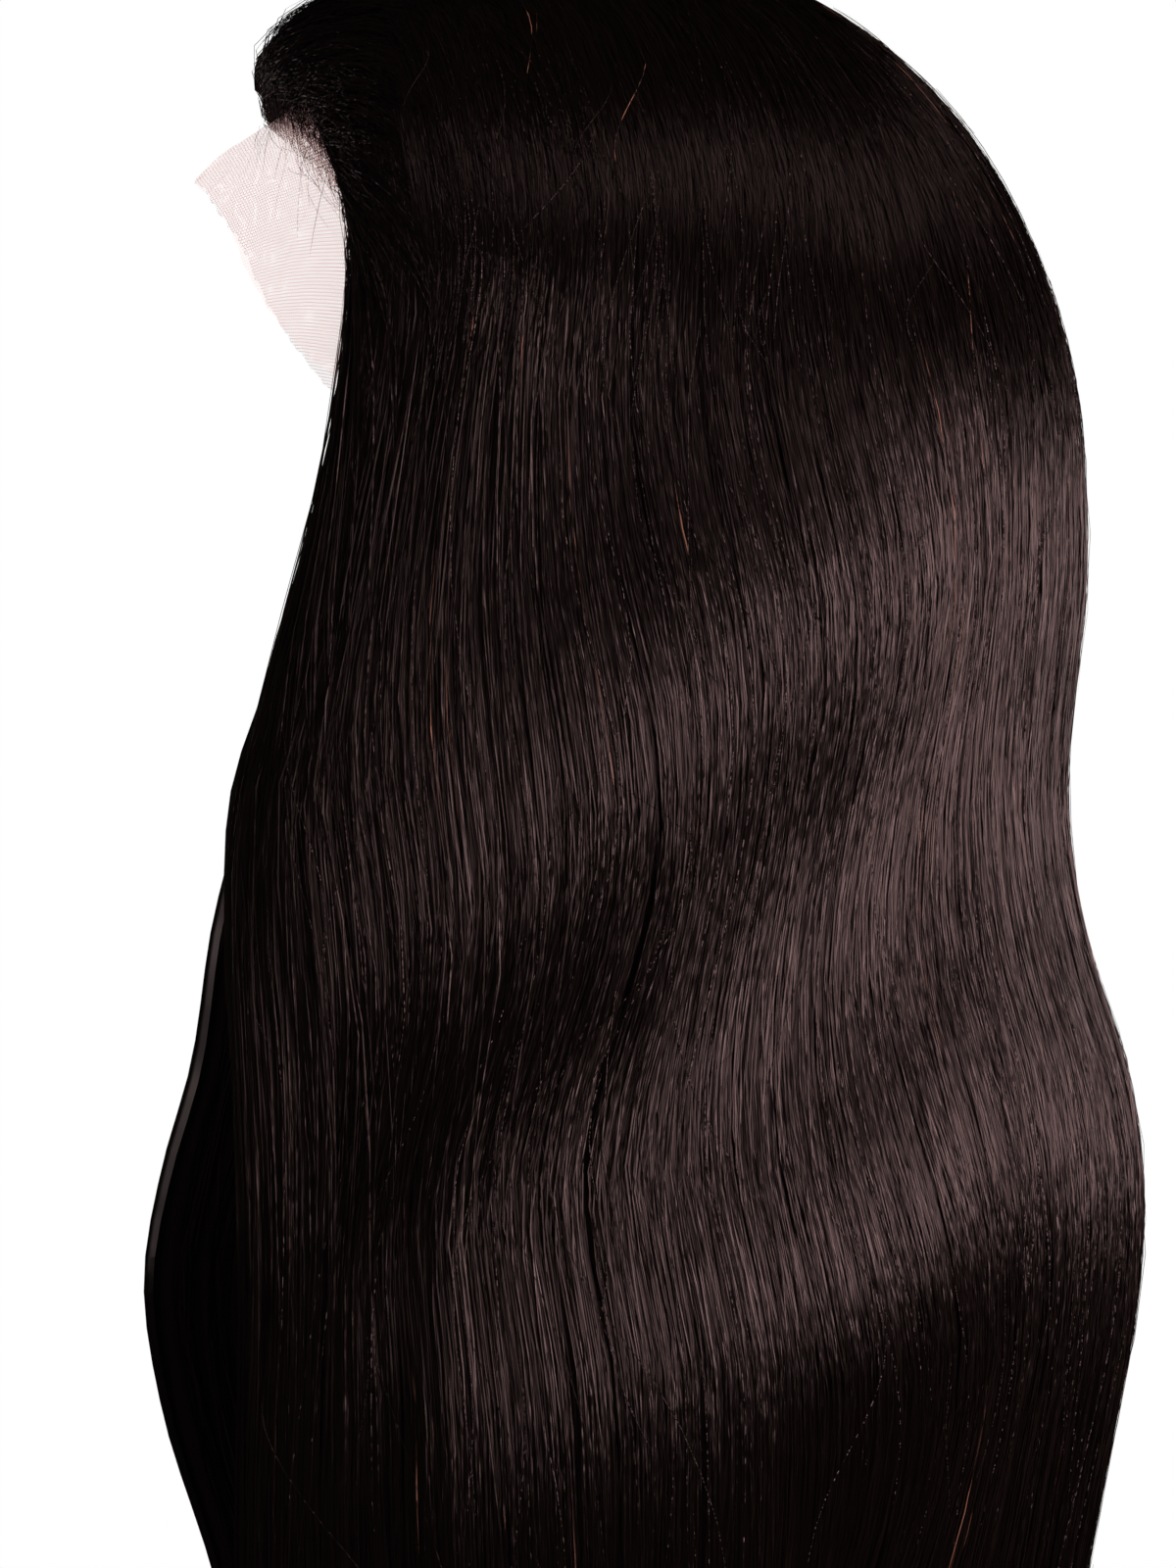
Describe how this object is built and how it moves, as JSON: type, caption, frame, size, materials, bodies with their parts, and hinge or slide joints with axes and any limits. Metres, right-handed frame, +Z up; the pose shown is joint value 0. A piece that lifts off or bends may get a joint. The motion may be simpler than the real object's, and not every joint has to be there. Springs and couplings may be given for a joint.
{
  "type": "lace front wig",
  "caption": "Long straight dark wig as worn: hair in locks hangs from a centre parting over a net cap, with a sheer lace front left uncut along the hairline.",
  "frame": {"origin": "inside of the cap's crown, where the top of the wearer's head touches it", "axes": "+Z up, the face looks along -Y, +X is the wearer's left"},
  "size_m": [0.2244, 0.2788, 0.5202],
  "materials": {
    "hair": "off-black dark brown hair, softly glossy along the strands",
    "lace": "sheer hexagonal net, pale pink beige, matt",
    "cap_net": "dark stretch net with sewn wefts, matt",
    "band": "dark elastic, matt"
  },
  "bodies": {
    "root": {"lace_front": "lace", "cap_net": "cap_net", "nape_band": "band", "hair_left": "hair", "hair_right": "hair", "hair_back": "hair"}
  },
  "joints": []
}
